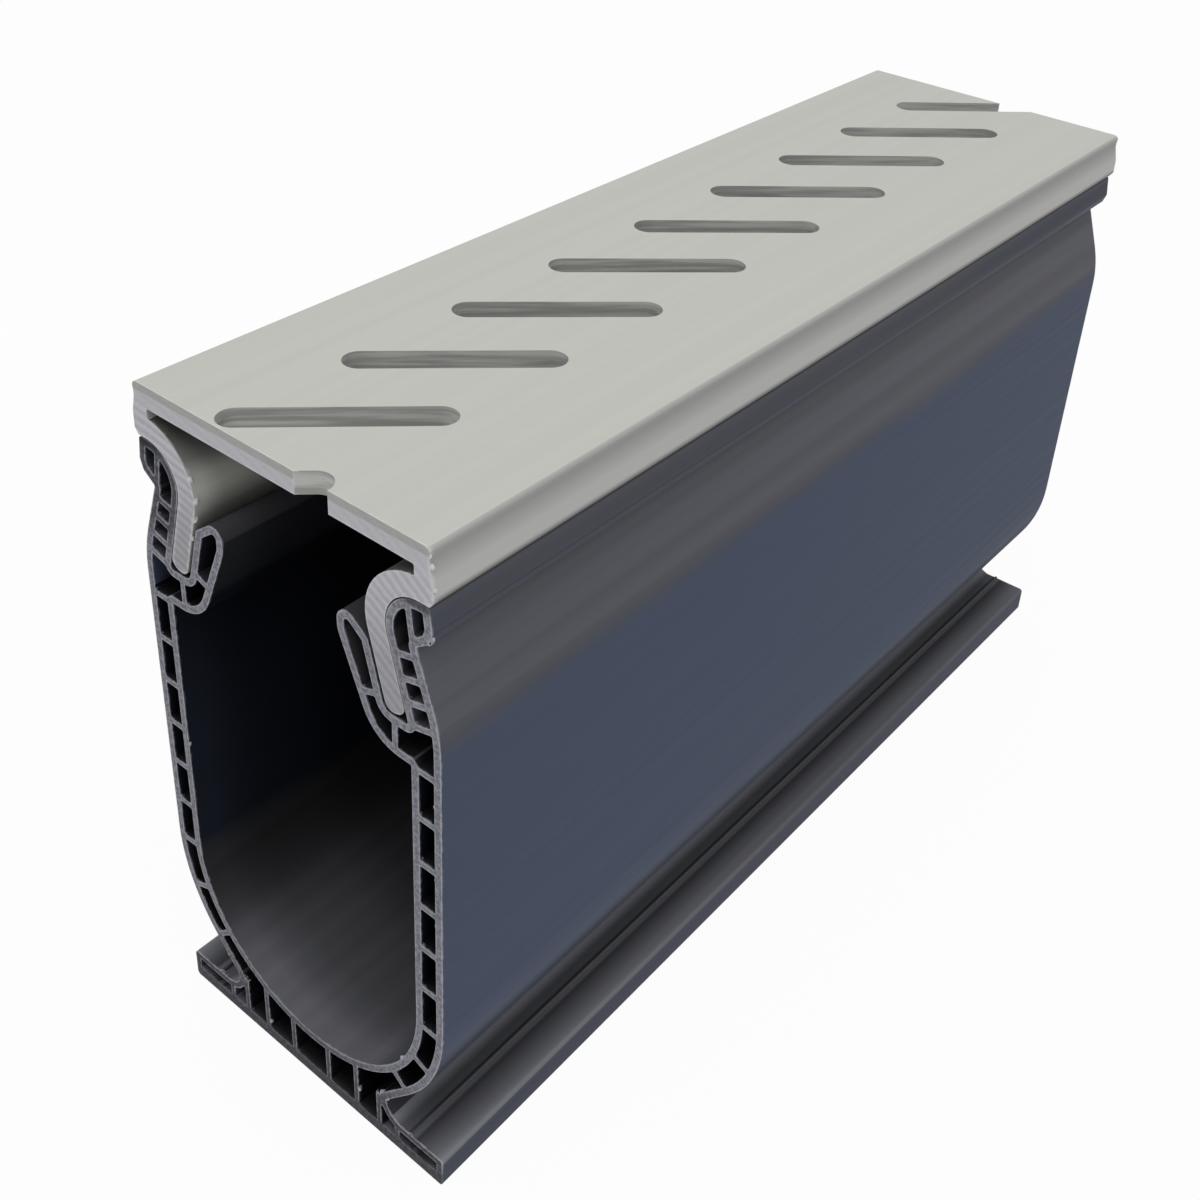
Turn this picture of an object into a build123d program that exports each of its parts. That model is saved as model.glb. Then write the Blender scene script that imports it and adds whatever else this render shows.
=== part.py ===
from build123d import *
from math import ceil, cos, floor, radians, sin, tan
import os

# A length of channel drain for paving and pool decks: a deep round-bottomed channel and the
# slotted cover that snaps into it. Both are plastic extrusions, so each is one section drawn
# flat, stood up in the X-Z plane and run along Y. The origin is the middle of the underside,
# with X across the drain, Y along it and Z up. Sizes are in millimetres, angles in degrees.
# Only the right half of a section is drawn, and then mirrored.

# Whole drain
drain_length = 282.0
drain_height = 172.3

# Trough between the two hollow walls, and the ribs inside the walls
trough_width = 71.4
trough_floor = 14.8
wall_thickness = 7.7
skin = 1.8
web = 1.4
cell_round = 0.45
rib_pitch = 11.9

# Hollow foot. Its struts leave the round wall at an angle below the level of its centre.
foot_width = 86.0
foot_edge = 8.3
foot_plate = 3.2
foot_edge_round = 1.0
strut_angle = 41.0
strut_length = 11.2
foot_notch_land = 0.2
foot_bead_inset = 10.0
foot_bead_radius = 0.5

# Webs under the round floor, from the middle, and in the foot, from the end of its strut
floor_web_places = (6.0, 15.5)
foot_web_offsets = (-2.5, 3.3)

# Hooked leg of the cover: it arches in from the skirt, then leans back out into its groove.
# The centre of the arch stands out from the trough's side and below the top of the cover.
hook_out = 2.8
hook_drop = 21.5
hook_radius = 11.5
leg_thickness = 5.1
leg_lean = 15.0
leg_straight = 17.8
leg_tip_round = 2.2

# Groove that the leg snaps into, with its room outside, inside and under the leg
fit_outside = 0.3
fit_inside = 0.9
fit_under = 1.0
groove_round_outside = 0.8
groove_round_inside = 2.5

# Outside of the channel above its straight wall: shoulder, neck and the bead under the cover.
# Places (out, up) are measured from the centre of the hook's arch.
shoulder_drop = 19.5
shoulder_round = 35.0
neck_place = (-1.2, -1.7)
bead_low_place = (2.1, 0.7)
bead_place = (3.0, 3.2)
bead_top_out = 2.3
neck_round = 0.6
bead_round = 1.2

# Arm on the inner side of the groove, down to the top of the trough
arm_width = 6.95
arm_lean = 22.5
arm_bend_drop = 8.5
arm_bend_round = 6.0
arm_tip_rise = 8.1
arm_tip_round = 2.8
arm_edge_drop = 6.3
arm_edge_round = 0.8
arm_under_round = 10.5
trough_top_drop = 30.4

# Webs above the trough: a row of ribs beside the groove, then three single webs. Each single
# web runs between two places (out, up) inside the skins that it joins.
groove_rib_drop = 20.9
groove_rib_pitch = 5.0
groove_ribs = 4
bead_web_top = (-3.2, 8.0)
bead_web_end = (-1.7, -3.2)
arm_web_start = (-16.9, -20.3)
arm_web_end = (-9.5, -17.6)
groove_web_top = (-7.1, -20.4)
groove_web_end = (-7.1, -29.6)

# Cover: a plate with a skirt down each side. Under its top edge the outside of a skirt runs
# into a shallow hollow, and then out to a flat land above its bevelled bottom edge.
cover_overhang = 2.75
cover_plate = 5.1
cover_edge_round = 1.2
skirt_thickness = 4.0
skirt_hollow_depth = 0.4
skirt_hollow_drop = 3.0
skirt_hollow_round = 4.0
skirt_land_out = 0.6
skirt_land_drop = 7.2
skirt_land_round = 3.0
skirt_flare = 0.7
skirt_bevel = 1.45
skirt_bottom_inset = 0.35
skirt_corner_round = 0.5

# Slots milled across the cover, which is then sawn to length through its end slots
slot_width = 7.4
slot_length = 46.2
slot_angle = 45.0
slot_pitch = 31.75
slot_offset = -1.7
first_slot_place = -13.5

# How far a half section or a cutter runs past the face that it meets
overlap = 1.0

# Values worked out from the sizes above
inner_radius = trough_width / 2
outer_radius = inner_radius + wall_thickness
round_centre = trough_floor + inner_radius
hook_half_place = inner_radius + hook_out
hook_height = drain_height - hook_drop
trough_top = hook_height - trough_top_drop
groove_outer_offset = -(leg_thickness / 2 + fit_outside)
groove_inner_offset = leg_thickness / 2 + fit_inside


def arc_corner(centre, radius, first_angle, last_angle):
    """The corner (x, z, radius) that rounds off to the arc between two angles."""
    middle = radians((first_angle + last_angle) / 2)
    reach = radius / cos(radians(last_angle - first_angle) / 2)
    return (centre[0] + reach * cos(middle), centre[1] + reach * sin(middle), radius)


def from_hook(place):
    """The point of the section at a place (out, up) from the centre of the hook's arch."""
    return (hook_half_place + place[0], hook_height + place[1])


def hook_corner(offset):
    """The corner for the arch of the hook, set off towards the trough from its centre line."""
    return arc_corner(from_hook((0.0, 0.0)), hook_radius + offset, 90.0, 180.0 + leg_lean)


def leg_point(offset, distance):
    """A point beside the leg's straight centre line, a distance down it from the arch."""
    lean = radians(leg_lean)
    reach = hook_radius + offset
    out = distance * sin(lean) - reach * cos(lean)
    up = -distance * cos(lean) - reach * sin(lean)
    return from_hook((out, up))


def beside_leg(offset, height):
    """The point at a given height on a line that runs beside the leg."""
    start_height = leg_point(offset, 0)[1]
    return leg_point(offset, (start_height - height) / cos(radians(leg_lean)))


def strut_end():
    """The lower end of the foot's strut, which leaves the round wall along its tangent."""
    angle = radians(strut_angle)
    x = outer_radius * cos(angle) - strut_length * sin(angle)
    z = round_centre - outer_radius * sin(angle) - strut_length * cos(angle)
    return (x, z)


def half_face(corners):
    """A flat face inside corners (x, z, radius). A radius of 0 leaves a corner sharp."""
    points = [(x, z) for x, z, radius in corners]
    radii = [radius for x, z, radius in corners]
    return make_face(FilletPolyline(*points, radius=radii, close=True))


def both_sides(section):
    """A half section joined to its mirror image on the other side of the drain."""
    return section + mirror(section, Plane.YZ)


def web_between(start, end):
    """A web of the usual thickness from one point of the section to another."""
    return trace(Line(start, end), web)


def run_along(section):
    """The solid that a flat section makes when it stands up and runs the drain's length."""
    return extrude(Plane.XZ * section, amount=drain_length / 2, both=True)


def foot_corners():
    """Underside, foot and notch of the channel, up to where the round wall begins."""
    half_foot = foot_width / 2
    notch_x, notch_top = strut_end()
    notch_round = notch_top - foot_edge - foot_notch_land
    return [
        (-overlap, 0.0, 0),
        (half_foot, 0.0, foot_edge_round),
        (half_foot, foot_edge, foot_edge_round),
        (notch_x, foot_edge, notch_round),
        (notch_x, notch_top, 0),
        arc_corner((0.0, round_centre), outer_radius, -strut_angle, 0.0),
    ]


def shoulder_corners():
    """Outside of the channel from the top of its straight wall to the top of the bead."""
    bead_top_up = hook_radius + groove_outer_offset
    return [
        (outer_radius, hook_height - shoulder_drop, shoulder_round),
        (*from_hook(neck_place), neck_round),
        (*from_hook(bead_low_place), neck_round),
        (*from_hook(bead_place), bead_round),
        (*from_hook((bead_top_out, bead_top_up)), neck_round),
    ]


def groove_corners():
    """Groove that the leg sits in, from over the bead down to the floor and up the arm."""
    leg_tip_height = leg_point(0, leg_straight)[1]
    groove_floor = leg_tip_height - fit_under
    floor_outside = beside_leg(groove_outer_offset, groove_floor)
    floor_inside = beside_leg(groove_inner_offset, groove_floor)
    return [
        hook_corner(groove_outer_offset),
        (*floor_outside, groove_round_outside),
        (*floor_inside, groove_round_inside),
    ]


def arm_corners():
    """Arm on the inner side of the groove, round to the top of the trough."""
    inner_face = hook_half_place - hook_radius - groove_inner_offset - arm_width
    bend_height = hook_height - arm_bend_drop
    tip_height = bend_height + arm_tip_rise
    arm_edge = beside_leg(groove_inner_offset, tip_height - arm_edge_drop)
    run_out = (bend_height - trough_top) * tan(radians(arm_lean))
    return [
        (*arm_edge, arm_edge_round),
        (inner_face, tip_height, arm_tip_round),
        (inner_face, bend_height, arm_bend_round),
        (inner_face + run_out, trough_top, arm_under_round),
    ]


def trough_corners():
    """Straight sides of the trough, down to the level of the centre of its round floor."""
    return [
        (inner_radius, trough_top, cell_round),
        (inner_radius, round_centre, 0),
        (-overlap, round_centre, 0),
    ]


def wall_rib(distance):
    """A rib across the wall, a distance along the trough's face above the centre's level.
    It lies flat beside the straight wall and points to the centre lower down."""
    if distance > 0:
        height = round_centre + distance
        return web_between((inner_radius, height), (outer_radius, height))
    angle = distance / inner_radius
    direction = Vector(cos(angle), sin(angle))
    centre = Vector(0.0, round_centre)
    return web_between(centre + direction * inner_radius, centre + direction * outer_radius)


def wall_ribs():
    """Ribs up the wall from where the foot's strut leaves it to the top of the trough."""
    lowest = -radians(strut_angle) * inner_radius
    spaces = floor((trough_top - round_centre - lowest) / rib_pitch)
    return [wall_rib(lowest + rib_pitch * number) for number in range(spaces + 1)]


def groove_rib(number):
    """A rib square to the outer wall of the groove, out to the shoulder."""
    height = hook_height - groove_rib_drop + groove_rib_pitch * number
    start = Vector(beside_leg(groove_outer_offset, height))
    direction = Vector(1, 0).rotate(Axis.Z, leg_lean)
    return web_between(start, start + direction * 2 * wall_thickness)


def channel_webs():
    """All the webs of the right half of the channel, and the thick plate under its foot."""
    strut_x, strut_z = strut_end()
    webs = Pos(0, foot_plate / 2) * Rectangle(foot_width, foot_plate)
    webs += [web_between((x, 0.0), (x, trough_floor + skin)) for x in floor_web_places]
    webs += [web_between((strut_x + x, 0.0), (strut_x + x, strut_z)) for x in foot_web_offsets]
    webs += wall_ribs()
    webs += [groove_rib(number) for number in range(groove_ribs)]
    webs += web_between(from_hook(bead_web_top), from_hook(bead_web_end))
    webs += web_between(from_hook(arm_web_start), from_hook(arm_web_end))
    webs += web_between(from_hook(groove_web_top), from_hook(groove_web_end))
    return webs


def rounded_cell(cell):
    """A hollow cell with its corners rounded, by drawing it in and letting it out again."""
    return offset(offset(cell, -cell_round), cell_round)


def channel_section():
    """The whole channel in section: its outline less the cells between skins and webs."""
    corners = foot_corners() + shoulder_corners() + groove_corners()
    corners += arm_corners() + trough_corners()
    round_floor = Pos(0, round_centre) * Circle(inner_radius)
    outline = both_sides(half_face(corners)) - round_floor
    cells = offset(outline, -skin, kind=Kind.INTERSECTION) - both_sides(channel_webs())
    right_cells = [cell for cell in cells.faces() if cell.center().X > -overlap]
    hollow = Sketch() + [rounded_cell(cell) for cell in right_cells]
    foot_bead = Pos(foot_width / 2 - foot_bead_inset, foot_edge) * Circle(foot_bead_radius)
    return outline - both_sides(hollow) + both_sides(foot_bead)


def cover_section():
    """The whole cover in section: plate, skirts and hooked legs."""
    half_cover = hook_half_place + cover_overhang
    skirt_inside = half_cover - skirt_thickness
    plate_bottom = drain_height - cover_plate
    arch_under = hook_height + hook_radius - leg_thickness / 2
    plate_and_skirt = half_face([
        (-overlap, drain_height, 0),
        (half_cover, drain_height, cover_edge_round),
        (half_cover - skirt_hollow_depth, drain_height - skirt_hollow_drop, skirt_hollow_round),
        (half_cover + skirt_land_out, drain_height - skirt_land_drop, skirt_land_round),
        (half_cover + skirt_flare, arch_under + skirt_bevel, skirt_corner_round),
        (half_cover - skirt_bottom_inset, arch_under, skirt_corner_round),
        (skirt_inside, arch_under, 0),
        (skirt_inside, plate_bottom, skirt_corner_round),
        (-overlap, plate_bottom, 0),
    ])
    leg = half_face([
        (hook_half_place + overlap, arch_under, 0),
        hook_corner(-leg_thickness / 2),
        (*leg_point(-leg_thickness / 2, leg_straight), leg_tip_round),
        (*leg_point(leg_thickness / 2, leg_straight), leg_tip_round),
        hook_corner(leg_thickness / 2),
        (hook_half_place + overlap, arch_under + leg_thickness, 0),
    ])
    return both_sides(plate_and_skirt + leg)


def slot_cutter(number):
    """The cutter for one slot, counted from the front end of the cover."""
    y = first_slot_place + slot_pitch * number - drain_length / 2
    outline = Rot(0, 0, slot_angle) * SlotOverall(slot_length, slot_width)
    cutter = extrude(outline, amount=cover_plate / 2 + overlap, both=True)
    return Pos(slot_offset, y, drain_height - cover_plate / 2) * cutter


def slotted_cover():
    """The cover, slotted along its whole length."""
    slots = ceil(drain_length / slot_pitch) + 1
    return run_along(cover_section()) - [slot_cutter(number) for number in range(slots)]


os.makedirs("parts", exist_ok=True)
export_step(run_along(channel_section()), "parts/channel_body.step")
export_step(slotted_cover(), "parts/slotted_cover.step")
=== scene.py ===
# %% [markdown]
# # A length of channel drain
#
# A channel drain lies in the ground between paving stones. Rain falls through the slots of its
# light cover and runs away along the dark channel underneath. Both pieces are plastic pushed
# through a die, so every line on them runs the same way, and both were sawn to length, which
# left rough pale ends. Their shapes come ready made, to the tenth of a millimetre. What is
# left to make here is what the plastic looks like, the torn bits at the near end, and the
# studio.

# %% Load the drain
from math import pi, radians, tau

import bpy
from mathutils import Matrix, Vector


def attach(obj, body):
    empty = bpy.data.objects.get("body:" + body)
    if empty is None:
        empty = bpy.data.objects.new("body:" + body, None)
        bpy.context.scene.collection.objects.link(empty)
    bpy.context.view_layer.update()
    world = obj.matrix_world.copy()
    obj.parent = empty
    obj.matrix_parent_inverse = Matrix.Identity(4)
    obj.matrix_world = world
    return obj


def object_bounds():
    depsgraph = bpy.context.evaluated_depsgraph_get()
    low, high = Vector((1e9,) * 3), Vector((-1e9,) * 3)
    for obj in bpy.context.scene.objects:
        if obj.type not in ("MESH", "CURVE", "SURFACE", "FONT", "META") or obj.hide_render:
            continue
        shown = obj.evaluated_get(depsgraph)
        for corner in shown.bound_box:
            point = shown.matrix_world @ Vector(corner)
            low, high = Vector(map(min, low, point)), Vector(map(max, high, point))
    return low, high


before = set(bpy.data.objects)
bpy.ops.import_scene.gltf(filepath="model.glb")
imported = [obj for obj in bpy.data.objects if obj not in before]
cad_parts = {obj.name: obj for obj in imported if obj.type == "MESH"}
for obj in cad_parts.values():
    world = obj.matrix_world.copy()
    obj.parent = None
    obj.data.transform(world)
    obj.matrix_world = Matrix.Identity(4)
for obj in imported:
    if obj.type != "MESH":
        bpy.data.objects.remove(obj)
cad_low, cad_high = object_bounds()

print("pieces:", sorted(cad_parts))
print("size in metres:", [round(side, 4) for side in cad_high - cad_low])

# %% [markdown]
# ## Millimetres and nodes
#
# Blender counts in metres and a drain is measured in millimetres, so one short name turns one
# into the other. A material is a tree of nodes. Two helpers add a node and give its inputs
# either a plain value or another node's output, so that a material reads from top to bottom,
# like a recipe.

# %% Helpers for sizes and nodes
mm = 0.001


def feed(tree, socket, value):
    """Gives a socket a plain value, or joins it to the output that feeds it."""
    if isinstance(value, bpy.types.NodeSocket):
        tree.links.new(value, socket)
    else:
        socket.default_value = value


def add_node(tree, kind, inputs=None, **settings):
    """Adds a node with its settings, and feeds its inputs."""
    node = tree.nodes.new("ShaderNode" + kind)
    for name, value in settings.items():
        setattr(node, name, value)
    for name, value in (inputs or {}).items():
        feed(tree, node.inputs[name], value)
    return node


print("a millimetre is", mm, "metres")

# %% [markdown]
# ## Masks
#
# A mask is a number between 0 and 1 that says where a finish shows. Masks could be painted on
# by hand, but here they are worked out from the place and the slope of the surface, so that
# they fit the shape exactly. Masks that are multiplied leave what lies inside all of them.

# %% Helpers for masks


def math_node(tree, operation, first, second=0.0, clamp=False):
    """The output of a Math node with one or two inputs."""
    node = add_node(tree, "Math", {0: first, 1: second}, operation=operation, use_clamp=clamp)
    return node.outputs[0]


def times(tree, *masks):
    """Masks or tones multiplied by each other."""
    product = masks[0]
    for mask in masks[1:]:
        product = math_node(tree, "MULTIPLY", product, mask)
    return product


def without(tree, mask):
    """All that lies outside a mask."""
    return math_node(tree, "SUBTRACT", 1.0, mask)


def grade(tree, value, low, high, to_low=0.0, to_high=1.0):
    """The output of a Map Range node, which turns one range of numbers into another."""
    inputs = {
        "Value": value, "From Min": low, "From Max": high, "To Min": to_low, "To Max": to_high,
    }
    return add_node(tree, "MapRange", inputs, interpolation_type="SMOOTHSTEP").outputs["Result"]


print("masks can be multiplied, turned round and graded")

# %% [markdown]
# ## Colours and tones
#
# Colours are laid over each other like coats of paint, and a mask says where each coat shows.
# A tone is a grey that multiplies a colour, so white leaves it alone and darker greys shade it.
# Dirt and shade follow a height or a depth on this drain, and a Color Ramp can say how: it is
# a row of stops, each with a place in millimetres and the tone there.

# %% Helpers for colours and tones
pure_white = (1.0, 1.0, 1.0, 1.0)


def blend_colour(tree, amount, first, second, blend_type="MIX"):
    """The output of a Mix node between two colours, from none to all of the second."""
    inputs = {0: amount, 6: first, 7: second}
    return add_node(tree, "Mix", inputs, data_type="RGBA", blend_type=blend_type).outputs[2]


def shade(tree, colour, tone):
    """A colour multiplied by a tone."""
    return blend_colour(tree, 1.0, colour, tone, blend_type="MULTIPLY")


def only_in(tree, mask, tone):
    """The tone inside a mask, and white elsewhere."""
    return blend_colour(tree, mask, pure_white, tone)


def tone_along(tree, value, stops, unit=mm):
    """A tone that follows a value, by a Color Ramp with a stop (value, tone) at each place."""
    first, last = stops[0][0], stops[-1][0]
    ends_of_ramp = {"Value": value, "From Min": first * unit, "From Max": last * unit}
    share = add_node(tree, "MapRange", ends_of_ramp)
    ramp = add_node(tree, "ValToRGB", {0: share.outputs["Result"]})
    elements = ramp.color_ramp.elements
    for place, _ in stops[1:-1]:
        elements.new((place - first) / (last - first))
    for element, (_, tone) in zip(elements, stops):
        element.color = (tone, tone, tone, 1.0)
    return ramp.outputs["Color"]


print("a tone of", pure_white[0], "changes nothing")

# %% [markdown]
# ## Effects that several finishes share
#
# Sawn ends, lines from the die and marks of the saw show on both pieces. Each effect is built
# once as a node group with named inputs and outputs. A material then places the group and
# gives it values of its own.

# %% Helpers for effects


def new_effect(name, inputs, outputs):
    """A node group for one effect, with its named inputs (kind, value) and its outputs."""
    tree = bpy.data.node_groups.new(name, "ShaderNodeTree")
    for title, (kind, value) in inputs.items():
        socket = tree.interface.new_socket(title, in_out="INPUT", socket_type="NodeSocket" + kind)
        if value is not None:
            socket.default_value = value
    for title, kind in outputs.items():
        tree.interface.new_socket(title, in_out="OUTPUT", socket_type="NodeSocket" + kind)
    entry = tree.nodes.new("NodeGroupInput").outputs
    result = tree.nodes.new("NodeGroupOutput").inputs
    return tree, entry, result


def use_effect(tree, effect, **inputs):
    """Puts an effect into a material and returns its outputs."""
    return add_node(tree, "Group", inputs, node_tree=effect).outputs


print("effects can be built and placed")

# %% [markdown]
# ## Where the saw went
#
# A sawn end is paler than the skin of the plastic, and its very edges are torn and paler still.
# The ends could be marked by hand, face by face. They are also simply the places that lie at
# the two ends of the drain, so an effect can find them from the position and from the way the
# surface faces. It then works on any piece of this drain, and it can also say how deep behind
# the cut a place lies. The torn edges come from a Bevel node: it rounds the normal near each
# edge, and where that differs from the real normal is an edge.
#
# Noise makes the torn edges ragged. A noise puts out numbers around one half that seldom come
# near 0 or 1, so a Map Range node stretches the part that it does use, here and further on.

# %% Effect: sawn ends
half_length = cad_high.y
cut_depth = 0.05 * mm
faces_end = 0.8
usual_rim = 0.6 * mm
noise_range = (0.3, 0.7)
narrowest, widest = 0.4, 1.5
sharp_turn = (0.01, 0.12)

sawn_ends, entry, result = new_effect(
    "Sawn ends",
    {"Position": ("Vector", None), "Normal": ("Vector", None), "Rim": ("Float", usual_rim)},
    {"Cut face": "Float", "Torn edge": "Float", "Depth": "Float"},
)
place = add_node(sawn_ends, "SeparateXYZ", {0: entry["Position"]}).outputs
facing = add_node(sawn_ends, "SeparateXYZ", {0: entry["Normal"]}).outputs
depth = math_node(sawn_ends, "SUBTRACT", half_length, math_node(sawn_ends, "ABSOLUTE", place["Y"]))
end_facing = math_node(sawn_ends, "ABSOLUTE", facing["Y"])
at_end = math_node(sawn_ends, "LESS_THAN", depth, cut_depth)
cut_face = times(sawn_ends, at_end, math_node(sawn_ends, "GREATER_THAN", end_facing, faces_end))

tear_noise = {"Vector": entry["Position"], "Scale": 700.0, "Detail": 3.0}
tears = add_node(sawn_ends, "TexNoise", tear_noise)
ragged = grade(sawn_ends, tears.outputs[0], *noise_range, narrowest, widest)
rim = times(sawn_ends, entry["Rim"], ragged)
near_end = math_node(sawn_ends, "LESS_THAN", depth, rim)
normals = {
    0: add_node(sawn_ends, "Bevel", {"Radius": rim}, samples=4).outputs[0],
    1: add_node(sawn_ends, "NewGeometry").outputs["True Normal"],
}
agreement = add_node(sawn_ends, "VectorMath", normals, operation="DOT_PRODUCT").outputs["Value"]
edge = grade(sawn_ends, without(sawn_ends, agreement), *sharp_turn)
sawn_ends.links.new(cut_face, result["Cut face"])
sawn_ends.links.new(times(sawn_ends, near_end, edge), result["Torn edge"])
sawn_ends.links.new(depth, result["Depth"])
print("sawn ends start", round(half_length / mm, 1), "mm from the middle")

# %% [markdown]
# ## Lines from the die
#
# Plastic that slides out of a die carries faint lines that run its whole length. They could be
# real grooves, but they are only hundredths of a millimetre deep. A noise that is stretched
# almost without end along the drain gives the same streaks, both fine ones to feel and broad
# ones to see.

# %% Effect: lines from the die
die_lines, entry, result = new_effect(
    "Lines from the die",
    {"Position": ("Vector", None)},
    {"Fine": "Float", "Broad": "Float"},
)
for title, across, lengthways in (("Fine", 1500.0, 5.0), ("Broad", 260.0, 2.0)):
    stretch = {"Vector": entry["Position"], "Scale": (across, lengthways, across)}
    stretched = add_node(die_lines, "Mapping", stretch).outputs[0]
    noise = add_node(die_lines, "TexNoise", {"Vector": stretched, "Scale": 1.0, "Detail": 3.0})
    die_lines.links.new(grade(die_lines, noise.outputs[0], *noise_range), result[title])
print("die lines:", [item.name for item in die_lines.interface.items_tree])

# %% [markdown]
# ## Dust on what faces up
#
# The channel is slate blue where its walls stand upright. Its sloping shoulders, its foot and
# the floor of its trough are greyer and duller, because dust settles on whatever faces up. The
# effect reads how far the surface leans back, and breaks up the edge of the dust with noise.

# %% Effect: settled dust
steep, dusty_slope = 0.02, 0.17
patch_range = (0.2, 0.8)
unevenness = 0.03

settled_dust, entry, result = new_effect(
    "Settled dust",
    {"Position": ("Vector", None), "Normal": ("Vector", None)},
    {"Mask": "Float"},
)
facing = add_node(settled_dust, "SeparateXYZ", {0: entry["Normal"]}).outputs
stretch = {"Vector": entry["Position"], "Scale": (70.0, 14.0, 70.0)}
stretched = add_node(settled_dust, "Mapping", stretch).outputs[0]
patches = add_node(settled_dust, "TexNoise", {"Vector": stretched, "Scale": 1.0, "Detail": 4.0})
uneven = grade(settled_dust, patches.outputs[0], *patch_range, -unevenness, unevenness)
lean = math_node(settled_dust, "ADD", facing["Z"], uneven)
settled_dust.links.new(grade(settled_dust, lean, steep, dusty_slope), result["Mask"])
print("dust takes", len(settled_dust.nodes), "nodes")

# %% [markdown]
# ## Marks of the saw
#
# A circular saw leaves arcs, all about the middle of its blade. Rings of a Wave Texture are
# arcs too, when their centre is put where the blade's was, low on the left of the section.
# The wavering comes from the texture's own distortion, and a fine noise adds the fuzz of torn
# plastic between the arcs. At a scale of 1 the rings of this texture lie a twentieth of a full
# turn apart, in metres, and the scale is set from that and from the step of the saw.

# %% Effect: marks of the saw
blade_centre = (-58.6 * mm, 0.0, 21.0 * mm)
blade_step = 2.2 * mm
ring_step = tau / 20

saw_marks, entry, result = new_effect(
    "Marks of the saw",
    {"Position": ("Vector", None)},
    {"Arcs": "Float", "Fuzz": "Float"},
)
back_to_centre = tuple(-side for side in blade_centre)
move = {"Vector": entry["Position"], "Location": back_to_centre}
centred = add_node(saw_marks, "Mapping", move).outputs[0]
rings = {"Vector": centred, "Scale": ring_step / blade_step, "Distortion": 1.5, "Detail": 2.0}
arcs = add_node(saw_marks, "TexWave", rings, wave_type="RINGS", rings_direction="Y")
fuzz_noise = {"Vector": entry["Position"], "Scale": 1100.0, "Detail": 3.0}
fuzz = add_node(saw_marks, "TexNoise", fuzz_noise)
saw_marks.links.new(arcs.outputs["Fac"], result["Arcs"])
saw_marks.links.new(fuzz.outputs[0], result["Fuzz"])
print("saw arcs repeat every", round(blade_step / mm, 1), "mm")

# %% [markdown]
# ## The dark plastic of the channel
#
# The finish is built up like the real one: slate plastic first, dust over it, the bare pale cut
# at the ends, and the torn rim last. Each layer is one of the effects above, mixed in by its
# mask. The material starts with those effects, and with the place of each point.
#
# The inside of the trough needs a mask of its own. Its walls are upright and its floor is half
# a circle, so the inside is all that lies nearer to its middle line than its half width.

# %% Material: channel plastic
trough_half, trough_centre = 35.85 * mm, 50.5 * mm


def new_material(name):
    """A material with its surface shader, and the position and normal that effects read."""
    material = bpy.data.materials.new(name)
    material.use_nodes = True
    tree = material.node_tree
    source = add_node(tree, "TexCoord").outputs
    return material, tree, tree.nodes["Principled BSDF"], source["Object"], source["Normal"]


channel_plastic, tree, surface, position, normal = new_material("channel_plastic")
ends = use_effect(tree, sawn_ends, Position=position, Normal=normal)
lines = use_effect(tree, die_lines, Position=position)
dust = use_effect(tree, settled_dust, Position=position, Normal=normal)
marks = use_effect(tree, saw_marks, Position=position)
place = add_node(tree, "SeparateXYZ", {0: position}).outputs
outward = math_node(tree, "ABSOLUTE", place["X"])

above_centre = math_node(tree, "SUBTRACT", place["Z"], trough_centre)
below = math_node(tree, "MINIMUM", above_centre, 0.0)
from_middle = add_node(tree, "CombineXYZ", {"X": place["X"], "Z": below}).outputs[0]
radius = add_node(tree, "VectorMath", {0: from_middle}, operation="LENGTH").outputs["Value"]
in_trough = math_node(tree, "LESS_THAN", radius, trough_half)
print("the trough is", round(2 * trough_half / mm, 1), "mm wide")

# %% [markdown]
# ### Painted shade in the trough
#
# Little light reaches the inside of the channel, so its shade is painted into the colour. The
# floor of the trough is dusty, its walls are painted nearly black, and all of it is painted
# darker deeper behind the cut. One tone follows the height and one the depth behind the cut,
# and both show only inside the trough.

# %% Tone of the trough
up_trough = (
    (14, 1.0), (20, 1.0), (27, 0.62), (31, 0.36), (35, 0.26), (41, 0.21),
    (50, 0.24), (90, 0.20), (128, 0.08), (131, 0.25), (140, 0.3),
)
into_trough = ((0, 1.0), (5, 1.0), (11, 0.72), (17, 0.57), (32, 0.5), (46, 0.28), (62, 0.18))

# Painted shade: darker up the walls of the trough and deeper behind the cut.
height_tone = tone_along(tree, place["Z"], up_trough)
depth_tone = tone_along(tree, ends["Depth"], into_trough)
painted_trough_shade = only_in(tree, in_trough, times(tree, height_tone, depth_tone))
print("the trough is toned by", len(up_trough) + len(into_trough), "stops")

# %% [markdown]
# ### Shade in the hollow walls
#
# The small cells of the hollow walls are black a millimetre behind the cut. The Ambient
# Occlusion node finds them, because it measures how shut in a place is, and its own ramp says
# how dark each share is. The cells beside the trough and under its floor are the darkest. They
# lie between the two skins of the wall and of the floor, so they are found by their distance
# from the trough's middle line, and darken with depth as well.

# %% Tone of the hollow walls
reach = 12 * mm
shut_in = ((0.0, 0.01), (0.2, 0.02), (0.3, 0.05), (0.4, 0.18), (0.46, 0.5), (0.5, 1.0), (1.0, 1.0))
into_cells = ((0, 0.4), (0.5, 0.2), (1.5, 0.1), (4, 0.04))
inside_skin = 0.5 * mm
wall_cells_out, wall_cells_up = 42.9 * mm, 122 * mm
floor_cells_out = 24 * mm

openness = add_node(tree, "AmbientOcclusion", {"Distance": reach}, samples=2, only_local=True)
cell_tone = tone_along(tree, openness.outputs["AO"], shut_in, unit=1)

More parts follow.
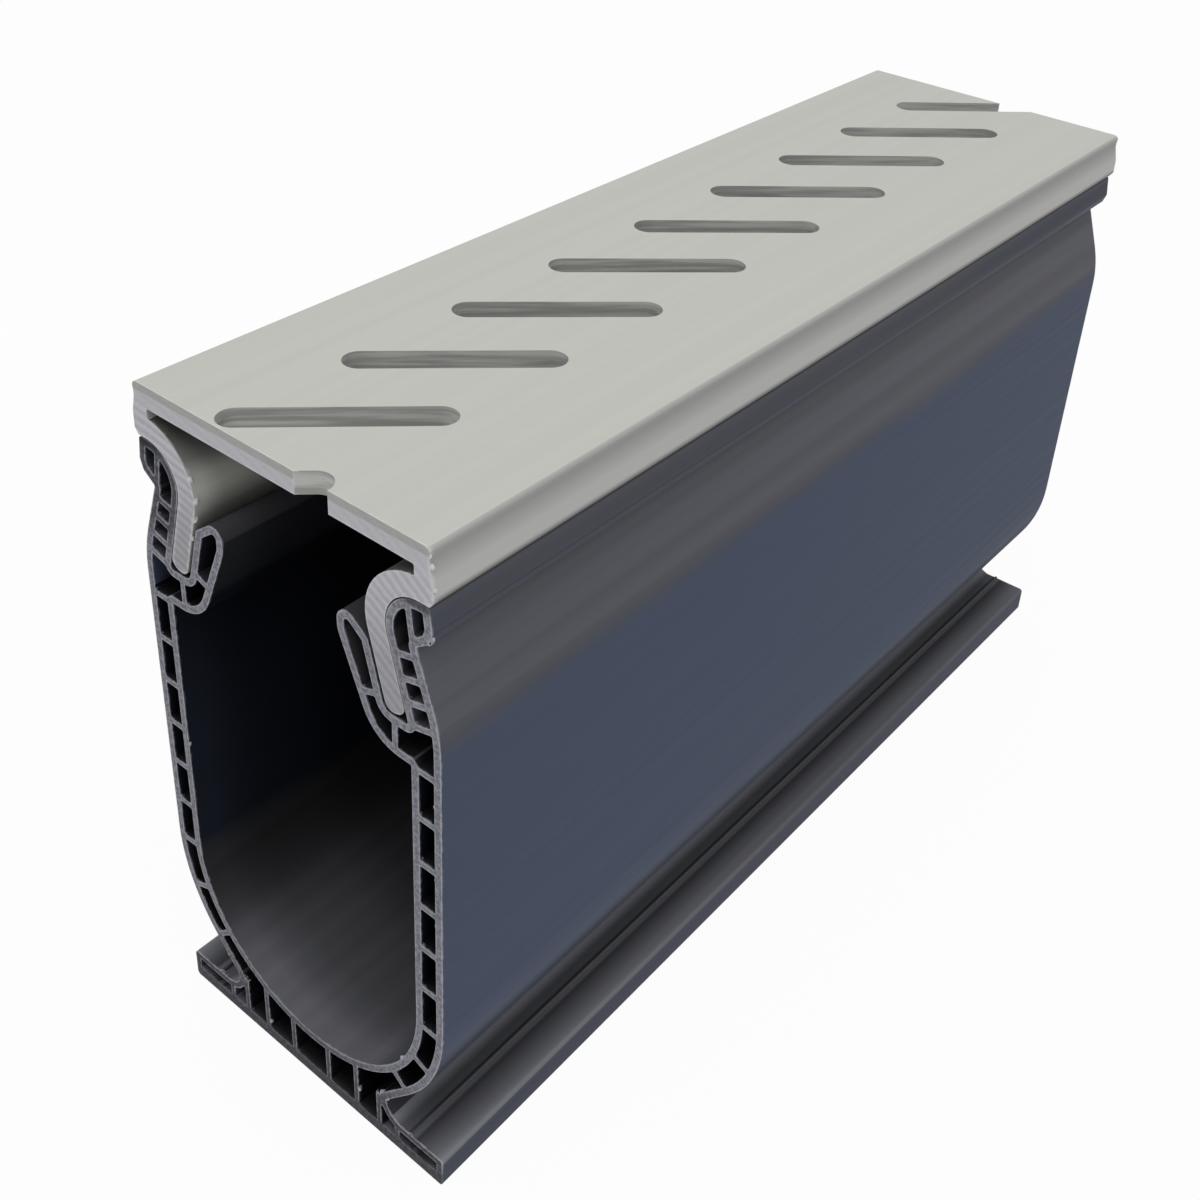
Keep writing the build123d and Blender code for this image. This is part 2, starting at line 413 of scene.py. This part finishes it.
past_skin = math_node(tree, "GREATER_THAN", radius, trough_half + inside_skin)
short_of_skin = math_node(tree, "LESS_THAN", radius, wall_cells_out)
below_shoulder = math_node(tree, "LESS_THAN", place["Z"], wall_cells_up)
in_wall = times(tree, past_skin, short_of_skin, below_shoulder)
above_base = math_node(tree, "GREATER_THAN", place["Z"], inside_skin)
near_middle = math_node(tree, "LESS_THAN", outward, floor_cells_out)
under_floor = times(tree, past_skin, above_base, near_middle)
in_cells = math_node(tree, "MAXIMUM", in_wall, under_floor)
dark_cells = only_in(tree, in_cells, tone_along(tree, ends["Depth"], into_cells))
hollow_tone = times(tree, painted_trough_shade, cell_tone, dark_cells)
print("shade is looked for within", round(reach / mm, 1), "mm")

# %% [markdown]
# ### Painted shade and highlight on the outside
#
# The walls are painted darker low down, where they turn under, and at the top, where they go
# in under the cover: this is shade. On top of the foot, painted shade is darkest on each side
# of its ridge and fades towards its outer edge, and a painted highlight runs along that edge,
# brightest at the near end.

# %% Tones of the outside
foot_top = 9.5 * mm
up_wall = (
    (8.0, 0.4), (34, 0.4), (36.8, 0.33), (38.5, 0.62), (40.8, 0.9), (43, 1.0), (152.9, 1.0),
    (153.6, 0.8), (154.5, 0.74), (156.5, 0.73), (158.2, 0.86), (159.0, 0.97), (159.6, 0.62),
    (160.2, 0.35), (162, 0.3),
)
across_foot = (
    (26, 1.0), (28, 1.0), (29, 0.8), (30, 0.53), (32, 0.5), (32.5, 0.3), (33.1, 0.3),
    (33.5, 0.62), (34.2, 0.6), (35, 0.24), (37, 0.42), (39, 0.62), (40.5, 0.76), (42, 0.72),
    (44, 0.65),
)
highlight_height = (6.8 * mm, 8.1 * mm)
highlight_edge = (40 * mm, 43 * mm)
highlight_length = (-150 * mm, 30 * mm)

on_foot = math_node(tree, "LESS_THAN", place["Z"], foot_top)
outside = times(tree, without(tree, in_trough), without(tree, on_foot))
# Painted shade on the outside walls, low down and under the cover.
painted_wall_shade = only_in(tree, outside, tone_along(tree, place["Z"], up_wall))
dusty_foot = times(tree, on_foot, dust["Mask"])
# Painted shade across the top of the foot, darkest beside its ridge.
painted_foot_shade = only_in(tree, dusty_foot, tone_along(tree, outward, across_foot))
outside_tone = times(tree, painted_wall_shade, painted_foot_shade)

# Painted highlight along the upper outer edge of the foot, brightest at the near end.
toward_near_end = grade(tree, place["Y"], *highlight_length, 1.0, 0.0)
high_on_foot = grade(tree, place["Z"], *highlight_height)
painted_highlight = times(tree, on_foot, high_on_foot, grade(tree, outward, *highlight_edge), toward_near_end)
print("the foot is rubbed from", round(highlight_edge[0] / mm, 1), "mm outwards")

# %% [markdown]
# ### Skin and dust
#
# The skin is slate blue on the wall, and greyer and less blue on the neck above the shoulder.
# The neck and the dust are paler towards the far end. The sides of the foot are dirty, and the
# dust is paler on the foot and in the trough than on the shoulders. The broad lines from the
# die show in the skin and in the dust.

# %% Skin and dust of the channel
slate, slate_light = (0.057, 0.073, 0.118, 1.0), (0.060, 0.076, 0.121, 1.0)
upper_slate, upper_slate_far = (0.070, 0.073, 0.090, 1.0), (0.090, 0.093, 0.110, 1.0)
foot_side = (0.060, 0.061, 0.074, 1.0)
dust_grey, dust_grey_far = (0.104, 0.106, 0.122, 1.0), (0.125, 0.127, 0.143, 1.0)
foot_dust = (0.186, 0.189, 0.212, 1.0)
trough_dust = (0.158, 0.160, 0.178, 1.0)
highlight_grey = (0.320, 0.325, 0.360, 1.0)
neck_starts, neck_ends = (124 * mm, 134 * mm), (155 * mm, 152 * mm)
side_dirt = 0.6
streak_tones = (0.92, 1.05)

lower_skin = blend_colour(tree, lines["Broad"], slate, slate_light)
on_neck = times(tree, grade(tree, place["Z"], *neck_starts), grade(tree, place["Z"], *neck_ends))
to_far_end = grade(tree, place["Y"], -half_length, half_length)
neck_skin = blend_colour(tree, to_far_end, upper_slate, upper_slate_far)
skin_colour = blend_colour(tree, on_neck, lower_skin, neck_skin)
foot_skin = blend_colour(tree, times(tree, on_foot, side_dirt), skin_colour, foot_side)

outer_dust = blend_colour(tree, to_far_end, dust_grey, dust_grey_far)
dust_outside = blend_colour(tree, on_foot, outer_dust, foot_dust)
ground_dust = blend_colour(tree, in_trough, dust_outside, trough_dust)
streaks = grade(tree, lines["Broad"], 0.0, 1.0, *streak_tones)
dusty_colour = blend_colour(tree, dust["Mask"], foot_skin, shade(tree, ground_dust, streaks))
# The painted highlight of the foot goes on over the dust.
highlit_colour = blend_colour(tree, painted_highlight, dusty_colour, highlight_grey)
# The painted shade of the trough, the cells and the outside darkens the colour.
shaded_colour = shade(tree, highlit_colour, times(tree, hollow_tone, outside_tone))
print("the neck starts", round(neck_starts[0] / mm, 1), "mm up")

# %% [markdown]
# ### The bare cut and its torn rim
#
# On the walls the cut is pale and speckled. Down at the foot the cut is darker, so that only
# the torn edges of its upper side are pale there. The top of the left wall is stained, and on
# both walls the cut and its torn rim are painted darker where they go in under the cover, as
# shade.

# %% Cut and torn rim of the channel
cut_slate, cut_slate_dark = (0.30, 0.30, 0.34, 1.0), (0.15, 0.15, 0.175, 1.0)
torn_slate = (0.48, 0.48, 0.53, 1.0)
up_cut = (
    (0, 0.36), (8, 0.38), (13, 0.5), (22, 0.8), (32, 1.0), (157.2, 1.0), (158.6, 0.4),
    (160, 0.2),
)
up_edge = ((0, 0.25), (3, 0.3), (6, 1.0), (157.2, 1.0), (158.8, 0.2))
left_wall, wall_top = (-24 * mm, -29 * mm), (132 * mm, 142 * mm)
stain_strength = 0.6

speckle = grade(tree, marks["Fuzz"], *noise_range)
cut_colour = blend_colour(tree, speckle, cut_slate_dark, cut_slate)
left_top = times(tree, grade(tree, place["X"], *left_wall), grade(tree, place["Z"], *wall_top))
stain = without(tree, times(tree, left_top, stain_strength))
# Painted shade: the cut darkens at the top of the walls, under the cover.
toned_cut = shade(tree, cut_colour, times(tree, tone_along(tree, place["Z"], up_cut), stain))
faced_colour = blend_colour(tree, ends["Cut face"], shaded_colour, toned_cut)
# Painted shade dims the torn rim under the cover too.
torn_shown = times(tree, ends["Torn edge"], tone_along(tree, place["Z"], up_edge))
whole_colour = blend_colour(tree, torn_shown, faced_colour, torn_slate)
tree.links.new(whole_colour, surface.inputs["Base Color"])
print("channel colour has", len(tree.nodes), "nodes")

# %% [markdown]
# ### Roughness and relief
#
# Dust and the cut are dull, and the skin has a faint sheen that changes from line to line. The
# lines and the saw marks also feed a Bump node, so that they catch the light. Its distance is
# one millimetre, so the heights that go into it are in millimetres. The cover gets its
# roughness and relief the same way, so each is a helper.

# %% Roughness and relief of the channel
dull_roughness = 0.8
sheen_range = (0.52, 0.58)
line_height, fuzz_height = 0.01, 0.25
channel_arc_height = 0.08


def set_roughness(tree, surface, dull, sheen):
    """The sheen of the skin, and the same dullness wherever the mask says."""
    rough = add_node(tree, "Mix", {0: dull, 2: sheen, 3: dull_roughness})
    tree.links.new(rough.outputs[0], surface.inputs["Roughness"])


def set_relief(tree, surface, lines, marks, arcs, cut_face):
    """Fine die lines all over, and saw arcs and fuzz on the cut."""
    arc_height = math_node(tree, "ADD", arcs, times(tree, marks["Fuzz"], fuzz_height))
    cut_height = times(tree, arc_height, cut_face)
    height = math_node(tree, "ADD", times(tree, lines["Fine"], line_height), cut_height)
    bump = add_node(tree, "Bump", {"Height": height, "Distance": 1.0 * mm, "Strength": 1.0})
    tree.links.new(bump.outputs[0], surface.inputs["Normal"])


dull = math_node(tree, "MAXIMUM", dust["Mask"], ends["Cut face"])
set_roughness(tree, surface, dull, grade(tree, lines["Fine"], 0.0, 1.0, *sheen_range))
channel_arcs = times(tree, marks["Arcs"], channel_arc_height)
set_relief(tree, surface, lines, marks, channel_arcs, ends["Cut face"])
surface.inputs["Specular IOR Level"].default_value = 0.08
print("channel finish has", len(tree.nodes), "nodes")

# %% [markdown]
# ## The light plastic of the cover
#
# The cover is a warm light grey with a satin skin, and its layers go on as the channel's did.
# The saw tore it most on the right skirt and on the left leg, so its torn rim is wider there.

# %% Material: cover plastic
wider_rim = 0.8 * mm
skirt_side = (36 * mm, 40 * mm)
low_on_leg, left_side = (160 * mm, 156 * mm), (0.0, -10 * mm)

cover_plastic, tree, surface, position, normal = new_material("cover_plastic")
place = add_node(tree, "SeparateXYZ", {0: position}).outputs
facing = add_node(tree, "SeparateXYZ", {0: normal}).outputs
right_skirt = grade(tree, place["X"], *skirt_side)
left_leg = times(tree, grade(tree, place["Z"], *low_on_leg), grade(tree, place["X"], *left_side))
more_torn = math_node(tree, "ADD", right_skirt, left_leg)
rim = math_node(tree, "ADD", times(tree, more_torn, wider_rim), usual_rim)
ends = use_effect(tree, sawn_ends, Position=position, Normal=normal, Rim=rim)
lines = use_effect(tree, die_lines, Position=position)
marks = use_effect(tree, saw_marks, Position=position)
print("the torn rim grows to about", round((usual_rim + wider_rim) / mm, 1), "mm")

# %% [markdown]
# ### Milled slots
#
# The slots were milled, which left streaks along their walls. The walls are the only upright
# faces of the cover that don't run straight along it, apart from its sawn ends, so the way the
# surface faces finds them. The streaks are a noise stretched along the slots, which lie at
# forty-five degrees, and thin from top to bottom.

# %% Milling marks
along_drain = 0.02
streak_scale = (40.0, 200.0, 900.0)
contrast_range = (0.35, 0.65)

slanted = math_node(tree, "GREATER_THAN", math_node(tree, "ABSOLUTE", facing["Y"]), along_drain)
inside_slot = math_node(tree, "SUBTRACT", slanted, ends["Cut face"], clamp=True)
turn_back = {"Vector": position, "Rotation": (0.0, 0.0, radians(-45))}
turned = add_node(tree, "Mapping", turn_back).outputs[0]
stretched = add_node(tree, "Mapping", {"Vector": turned, "Scale": streak_scale}).outputs[0]
streaked = add_node(tree, "TexNoise", {"Vector": stretched, "Scale": 1.0, "Detail": 3.0})
milling = grade(tree, streaked.outputs[0], *contrast_range)
print("the slots are streaked at scales", streak_scale)

# %% [markdown]
# ### Painted shade on the cover
#
# Under the plate and between the skirts the cover is in the dark, and that shade is painted
# into its colour, more so deep behind the cut and close under the plate. The skirts are painted
# darker just under their top edge and dark at the bottom, where they go down beside the
# channel: this is shade as well. The top two millimetres of the sawn end are a little darker.

# %% Tones of the cover
plate_underside, skirt_inside = 167.3 * mm, 37 * mm
faces_side = 0.5
into_cover = (
    (0, 1.0), (3, 1.0), (7, 0.8), (12, 0.8), (20, 0.85), (34, 0.5), (50, 0.3), (141, 0.25),
)
up_inside = (
    (128, 0.4), (140, 0.5), (148, 0.8), (153, 1.0), (156, 0.85), (159, 0.4), (163, 0.2),
    (167, 0.15),
)
down_skirt = (
    (0, 0.85), (1.0, 0.7), (2.5, 0.65), (4.0, 0.7), (6.0, 0.83), (7.5, 0.96), (9.6, 0.98),
    (10.1, 0.93), (10.5, 0.72), (11, 0.45), (11.6, 0.28), (13, 0.2),
)
top_band_zone = (cad_high.z - 2.0 * mm, cad_high.z - 1.7 * mm)

under_plate = math_node(tree, "LESS_THAN", place["Z"], plate_underside)
outward = math_node(tree, "ABSOLUTE", place["X"])
between_skirts = math_node(tree, "LESS_THAN", outward, skirt_inside)
hidden = times(tree, under_plate, between_skirts)
depth_tone = tone_along(tree, ends["Depth"], into_cover)
height_tone = tone_along(tree, place["Z"], up_inside)
# Painted shade under the plate and between the skirts.
hidden_tone = only_in(tree, hidden, times(tree, depth_tone, height_tone))

side_facing = math_node(tree, "ABSOLUTE", facing["X"])
on_skirt = math_node(tree, "GREATER_THAN", side_facing, faces_side)
shown_skirt = times(tree, on_skirt, without(tree, hidden))
below_top = math_node(tree, "SUBTRACT", cad_high.z, place["Z"])
# Painted shade down the skirt: just under its top edge and at its bottom.
painted_skirt_shade = tone_along(tree, below_top, down_skirt)
# The top two millimetres of the sawn end are a little darker.
banded = times(tree, grade(tree, place["Z"], *top_band_zone), ends["Cut face"])
print("the plate starts", round(plate_underside / mm, 1), "mm up")

# %% [markdown]
# ### The layers of the cover
#
# Skin, skirts, slots and cut lie over each other, and the torn rim and the darker top band of
# the cut come last. The cut is painted darker lower down the legs, as shade. The cover's sawn
# end shows the clearest saw arcs of all, most of all on its legs.

# %% Layers of the cover plastic
warm_grey, warm_grey_light = (0.515, 0.515, 0.476, 1.0), (0.535, 0.535, 0.496, 1.0)
skirt_grey = (0.515, 0.512, 0.500, 1.0)
milled_grey, milled_grey_light = (0.34, 0.34, 0.325, 1.0), (0.54, 0.54, 0.515, 1.0)
cut_grey, cut_grey_dark = (0.56, 0.56, 0.60, 1.0), (0.40, 0.40, 0.42, 1.0)
torn_grey, torn_share = (0.72, 0.72, 0.73, 1.0), 0.7
top_band_grey, top_band_share = (0.36, 0.36, 0.33, 1.0), 0.7
up_leg_cut = (
    (128, 0.66), (142, 0.74), (151, 0.9), (160, 1.0), (167, 1.0), (168, 0.93), (173, 0.93),
)
legs_to_plate = (164 * mm, 169 * mm)
arcs_on_plate = 0.25

skin_colour = blend_colour(tree, lines["Broad"], warm_grey, warm_grey_light)
skirt_colour = shade(tree, skirt_grey, painted_skirt_shade)
sided_colour = blend_colour(tree, shown_skirt, skin_colour, skirt_colour)
shaded_colour = shade(tree, sided_colour, hidden_tone)
slot_colour = blend_colour(tree, milling, milled_grey, milled_grey_light)
slotted_colour = blend_colour(tree, inside_slot, shaded_colour, slot_colour)

on_legs = grade(tree, place["Z"], *legs_to_plate, 1.0, arcs_on_plate)
arcs_shown = times(tree, marks["Arcs"], on_legs)
cut_colour = blend_colour(tree, times(tree, arcs_shown, marks["Fuzz"]), cut_grey, cut_grey_dark)
# Painted shade: the cut darkens lower down the legs.
toned_cut = shade(tree, cut_colour, tone_along(tree, place["Z"], up_leg_cut))
faced_colour = blend_colour(tree, ends["Cut face"], slotted_colour, toned_cut)
torn_shown = times(tree, ends["Torn edge"], torn_share)
torn_colour = blend_colour(tree, torn_shown, faced_colour, torn_grey)
# The darker top band of the cut goes on last.
whole_colour = blend_colour(tree, times(tree, banded, top_band_share), torn_colour, top_band_grey)
tree.links.new(whole_colour, surface.inputs["Base Color"])
print("cover colour has", len(tree.nodes), "nodes")

# %% [markdown]
# ### Roughness and relief of the cover
#
# The two helpers of the channel do the rest. The satin skin has the same roughness all over,
# and the arcs stand out further than on the channel.

# %% Roughness and relief of the cover
satin_roughness = 0.6
cover_arc_height = 0.3

set_roughness(tree, surface, ends["Cut face"], satin_roughness)
cover_arcs = times(tree, arcs_shown, cover_arc_height)
set_relief(tree, surface, lines, marks, cover_arcs, ends["Cut face"])
surface.inputs["Specular IOR Level"].default_value = 0.15
print("cover finish has", len(tree.nodes), "nodes")

# %% [markdown]
# ## The finishes go on
#
# The two pieces of the drain keep their exact shapes. Only their material slots change.

# %% Put the finishes on the two pieces
for name, finish in (("channel_body", channel_plastic), ("slotted_cover", cover_plastic)):
    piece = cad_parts[name]
    for slot in piece.material_slots:
        slot.material = finish
    print(name, "has", len(piece.data.polygons), "faces and wears", finish.name)

# %% [markdown]
# ## Torn crumbs
#
# A saw tears plastic as it leaves it, so small crumbs and nubs hang on the cut edges. They show
# best where they stand out against something dark. Crumbs like these could be a displaced
# surface, but there are only a few and each has its own place. So one crumb is modelled, from
# a small ball that is squashed, roughened and smoothed. Copies of it are roughened again, each
# in its own way, and set down on the nearest bit of the cut.

# %% One crumb
bpy.ops.object.select_all(action="DESELECT")
bpy.ops.mesh.primitive_ico_sphere_add(subdivisions=2, radius=1 * mm, location=(0.0, 0.0, 0.0))
crumb = bpy.context.object
crumb.name = "crumb"
bpy.ops.object.mode_set(mode="EDIT")
bpy.ops.mesh.select_all(action="SELECT")
bpy.ops.transform.resize(value=(1.0, 0.8, 1.1), center_override=(0.0, 0.0, 0.0))
bpy.ops.transform.vertex_random(offset=0.2 * mm, uniform=0.5, normal=0.3, seed=1)
bpy.ops.mesh.vertices_smooth(factor=0.5, repeat=2)
bpy.ops.object.mode_set(mode="OBJECT")
print("one crumb has", len(crumb.data.polygons), "faces")

# %% [markdown]
# ### A crumb in its place
#
# Each copy is made in its own mesh. In edit mode it is made the right size, roughened with its
# own seed and moved to its place, sunk a little into the edge that it hangs on. Two bisects
# then cut it off flush with the sawn end and with the widest part of the channel, since a
# crumb that stood out further would have been rubbed off.

# %% Set a crumb
sunk_share = 0.2
rough_share = 0.1
flush = -half_length + 0.02 * mm
rubbed_off = (
    {"plane_co": (0.0, flush, 0.0), "plane_no": (0.0, -1.0, 0.0)},
    {"plane_co": (cad_high.x, 0.0, 0.0), "plane_no": (1.0, 0.0, 0.0)},
)


def set_crumb(host, x, z, size, seed):
    """A copy of the crumb on the nearest bit of the host's near cut, size in mm across."""
    wanted = Vector((x * mm, -half_length + size * mm / 4, z * mm))
    _, spot, facing, _ = host.closest_point_on_mesh(wanted)
    spot -= facing * sunk_share * size * mm
    bpy.ops.object.select_all(action="DESELECT")
    crumb.select_set(True)
    bpy.context.view_layer.objects.active = crumb
    bpy.ops.object.duplicate()
    copy = bpy.context.object
    bpy.ops.object.mode_set(mode="EDIT")
    bpy.ops.mesh.select_all(action="SELECT")
    bpy.ops.transform.resize(value=(size / 2,) * 3, center_override=(0.0, 0.0, 0.0))
    shake = {"offset": rough_share * size * mm, "uniform": 0.8, "normal": 0.2}
    bpy.ops.transform.vertex_random(seed=seed, **shake)
    bpy.ops.mesh.vertices_smooth(factor=0.5)
    middle = -half_length + sunk_share * size * mm
    bpy.ops.transform.translate(value=(spot.x, middle, spot.z))
    bpy.ops.mesh.subdivide(number_cuts=1, smoothness=1.0)
    for plane in rubbed_off:
        bpy.ops.mesh.select_all(action="SELECT")
        bpy.ops.mesh.bisect(use_fill=True, clear_outer=True, threshold=0.001 * mm, **plane)
    bpy.ops.mesh.select_all(action="SELECT")
    bpy.ops.mesh.normals_make_consistent(inside=False)
    bpy.ops.object.mode_set(mode="OBJECT")
    return copy


print("crumbs end", round(half_length / mm + flush / mm, 2), "mm short of the cut")

# %% [markdown]
# ### Crumbs on both pieces
#
# The lists give the place of each crumb on the section and its size, all in millimetres. On
# the cover they hang on the right skirt and on the left leg. On the channel they hang on the
# right bead, in both walls, and on the webs and skins round the foot. The crumbs of a piece
# are joined, so that they can be moved and dressed as one.

# %% Crumbs on both pieces
cover_spots = (
    (40.9, 170.6, 1.4), (41.2, 168.1, 2.4), (41.6, 163.6, 1.9), (-24.9, 156.1, 2.1),
    (-24.6, 151.0, 2.6), (-24.8, 146.4, 2.2), (-25.8, 141.0, 2.0),
)
channel_spots = (
    (42.4, 151.9, 2.6), (41.2, 151.6, 2.2), (41.2, 113.7, 1.5), (41.2, 94.6, 1.4),
    (41.2, 81.9, 1.5), (-35.2, 80.8, 1.5), (16.4, 8.7, 2.5), (-14.1, 5.4, 1.8),
    (24.4, 14.3, 2.5), (26.0, 13.4, 2.2), (-29.8, 17.2, 2.0), (30.9, 32.4, 2.3),
)


def join_crumbs(name, crumbs):
    """One piece made of many crumbs."""
    bpy.ops.object.select_all(action="DESELECT")
    for piece in crumbs:
        piece.select_set(True)
    bpy.context.view_layer.objects.active = crumbs[0]
    bpy.ops.object.join()
    joined = bpy.context.object
    joined.name = name
    bpy.ops.object.shade_smooth()
    return joined


crumb_pieces = []
for name, host_name, spots in (
    ("cover_crumbs", "slotted_cover", cover_spots),
    ("channel_crumbs", "channel_body", channel_spots),
):
    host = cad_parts[host_name]
    crumbs = [set_crumb(host, *spot, seed) for seed, spot in enumerate(spots)]
    crumb_pieces.append(join_crumbs(name, crumbs))
    print(name, "has", len(crumbs), "crumbs and", len(crumb_pieces[-1].data.polygons), "faces")
bpy.data.objects.remove(crumb)

# %% [markdown]
# ### Torn plastic
#
# Torn plastic is whiter than cut plastic, because its surface is full of tiny cracks that throw
# the light back. Both crumb finishes are the same recipe in two greys, patchy like the fuzz on
# the cut. The crumbs go with the drain.

# %% Material: torn plastic
torn_fuzz_height = 0.3
torn_finishes = (
    ("torn_cover", "cover_plastic", (0.70, 0.70, 0.68, 1.0), (0.46, 0.46, 0.44, 1.0)),
    ("torn_channel", "channel_plastic", (0.60, 0.60, 0.64, 1.0), (0.30, 0.30, 0.34, 1.0)),
)
for piece, (name, slot, pale, grey) in zip(crumb_pieces, torn_finishes):
    finish, tree, surface, position, _ = new_material(name)
    marks = use_effect(tree, saw_marks, Position=position)
    patchy = grade(tree, marks["Fuzz"], *contrast_range)
    tree.links.new(blend_colour(tree, patchy, grey, pale), surface.inputs["Base Color"])
    fuzz_relief = times(tree, marks["Fuzz"], torn_fuzz_height)
    bump = add_node(tree, "Bump", {"Height": fuzz_relief, "Distance": 1.0 * mm})
    tree.links.new(bump.outputs[0], surface.inputs["Normal"])
    surface.inputs["Roughness"].default_value = 0.75
    surface.inputs["Specular IOR Level"].default_value = 0.2
    piece.data.materials.clear()
    piece.data.materials.append(finish)
    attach(piece, "root")
    print(piece.name, "wears", finish.name)

# %% [markdown]
# ## The floor
#
# The drain stands on a plain pale floor. It is white to the camera and still takes the drain's
# shadow: its material is mostly plain white light for the rays of the camera and for
# reflections, and plain matt paint for every other ray. It lies a hair below the foot, so that
# the two faces don't fight over which one shows.

# %% Floor
floor_gap = 0.05 * mm
whiteness = 0.95


def seen_directly(tree):
    """1 for the rays of the camera, of reflections and of glass, 0 for the light itself."""
    rays = add_node(tree, "LightPath").outputs
    seen = math_node(tree, "MAXIMUM", rays["Is Camera Ray"], rays["Is Glossy Ray"])
    return math_node(tree, "MAXIMUM", seen, rays["Is Transmission Ray"])


bpy.ops.object.select_all(action="DESELECT")
bpy.ops.mesh.primitive_plane_add(size=8.0, location=(0.0, 0.0, -floor_gap))
floor = bpy.context.object
floor.name = "studio_floor"
paint, tree, surface, *_ = new_material("pale_floor")
surface.inputs["Base Color"].default_value = (0.8, 0.8, 0.8, 1.0)
surface.inputs["Roughness"].default_value = 0.9
surface.inputs["Specular IOR Level"].default_value = 0.0
glow = math_node(tree, "MULTIPLY", seen_directly(tree), whiteness)
light = add_node(tree, "Emission", {"Color": pure_white, "Strength": 1.0})
both = add_node(tree, "MixShader", {0: glow, 1: surface.outputs[0], 2: light.outputs[0]})
tree.links.new(both.outputs[0], tree.nodes["Material Output"].inputs["Surface"])
floor.data.materials.append(paint)
print("the floor is", round(floor.dimensions.x, 1), "m wide")

# %% [markdown]
# ## The light of the room
#
# The world lights the drain softly from all around, and a good deal weaker than white, since
# the lamp comes on top of it. To the camera and in reflections it is plain white, like the
# floor.

# %% World
room_light = 0.62

world = bpy.data.worlds.new("studio")
world.use_nodes = True
bpy.context.scene.world = world
tree = world.node_tree
sky = tree.nodes["Background"]
sky.inputs["Color"].default_value = pure_white
strength = grade(tree, seen_directly(tree), 0.0, 1.0, room_light, 1.0)
tree.links.new(strength, sky.inputs["Strength"])
print("the room gives", room_light, "of white")

# %% [markdown]
# ## One soft lamp
#
# A wide lamp overhead makes the top of the cover the brightest face, as in daylight. It is
# large, so that its shadows are soft.

# %% Lamp
lamp_place = Vector((0.25, -0.35, 1.5))
bpy.ops.object.light_add(type="AREA", location=lamp_place)
lamp = bpy.context.object
lamp.name = "soft_lamp"
lamp.data.shape = "DISK"
lamp.data.size = 1.3
lamp.data.energy = 8.5
lamp.rotation_euler = (-lamp_place).to_track_quat("-Z", "Y").to_euler()
print("lamp", round(lamp_place.length, 2), "m from the drain")

# %% [markdown]
# ## The camera
#
# The camera stands off the right front corner and looks down at thirty degrees. Its place, turn
# and lens were worked out from the straight edges of the drain, so that the drain fills the
# picture as it should. It leans a little, as a hand-held camera does.

# %% Camera
camera_place = (191.54 * mm, -288.80 * mm, 324.10 * mm)
turn, tilt, lean = 0.666, 0.5194, 0.0533

tilted = Matrix.Rotation(turn, 4, "Z") @ Matrix.Rotation(pi / 2 - tilt, 4, "X")
aim = tilted @ Matrix.Rotation(lean, 4, "Z")
bpy.ops.object.camera_add(location=camera_place, rotation=aim.to_euler())
camera = bpy.context.object
camera.data.lens = 46.193
camera.data.sensor_width = 36.0
camera.data.shift_y = -0.175
camera.data.clip_start = 10 * mm
bpy.context.scene.camera = camera
bpy.context.scene.view_settings.view_transform = "Standard"
print("camera", round(Vector(camera_place).length, 3), "m from the drain")
